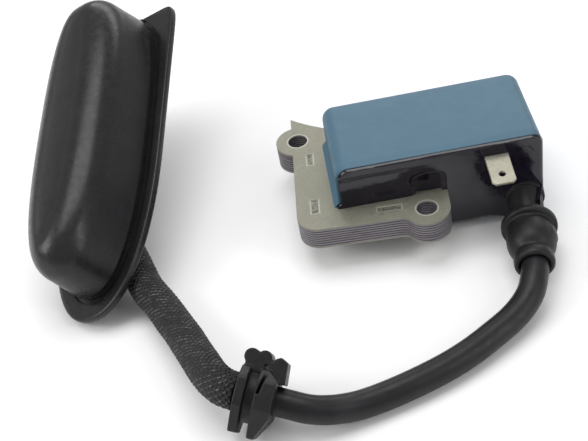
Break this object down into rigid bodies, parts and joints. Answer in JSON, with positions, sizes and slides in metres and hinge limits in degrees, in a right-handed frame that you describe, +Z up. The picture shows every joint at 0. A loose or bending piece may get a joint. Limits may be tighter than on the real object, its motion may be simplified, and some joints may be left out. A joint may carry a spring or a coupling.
{
  "type": "ignition coil",
  "caption": "Small-engine ignition coil: laminated two-ear core, potted coil block with kill tab, high-tension lead with frame grommet and braided sleeve, and long flanged plug cap.",
  "frame": {"origin": "midway between the two mounting holes, on the top face of the core", "axes": "+Z up along the mounting screws, +X along the core's yoke towards the lead's end of the block, +Y from the yoke towards the flywheel"},
  "size_m": [0.139, 0.1455, 0.0506],
  "materials": {
    "core_plate": "plated, fine grain",
    "core_stack": "cut edges, darkened",
    "housing": "moulded, satin",
    "potting": "poured resin, glossy",
    "bobbin": "moulded",
    "copper": "enamelled wire",
    "board": "laminate with a green lacquer",
    "chip": "moulded epoxy",
    "capacitor": "dipped coating",
    "resistor": "lacquered",
    "brass": "stamped and drawn",
    "nickel": "nickel plated",
    "rubber": "moulded, satin",
    "lead_jacket": "extruded, satin",
    "braid": "varnished braid with pale flecks",
    "cap": "moulded, semi-gloss",
    "spring": "drawn wire"
  },
  "bodies": {
    "coil": {"core_top_lamination": "core_plate", "core_laminations": "core_stack", "core_bottom_lamination": "core_plate", "housing_shell": "housing", "potting_fill": "potting", "primary_bobbin": "bobbin", "primary_winding": "copper", "secondary_bobbin": "bobbin", "secondary_winding": "copper", "circuit_board": "board", "power_transistor": "chip", "control_chip": "chip", "storage_capacitor": "capacitor", "resistors": "resistor", "diodes": "chip", "ground_strap": "brass", "kill_tab": "nickel", "hv_terminal_pin": "brass", "lead_socket": "potting", "lead_boot": "rubber", "ht_lead": "lead_jacket", "braided_sleeve": "braid", "plug_cap": "cap", "plug_boot": "rubber", "terminal_spring": "spring"},
    "grommet": {"frame_grommet": "rubber"}
  },
  "joints": [
    {"name": "grommet_slide", "type": "slide", "parent": "coil", "child": "grommet", "axis": [0.9335, -0.271, -0.2349], "range_m": [0, 0.004]}
  ]
}
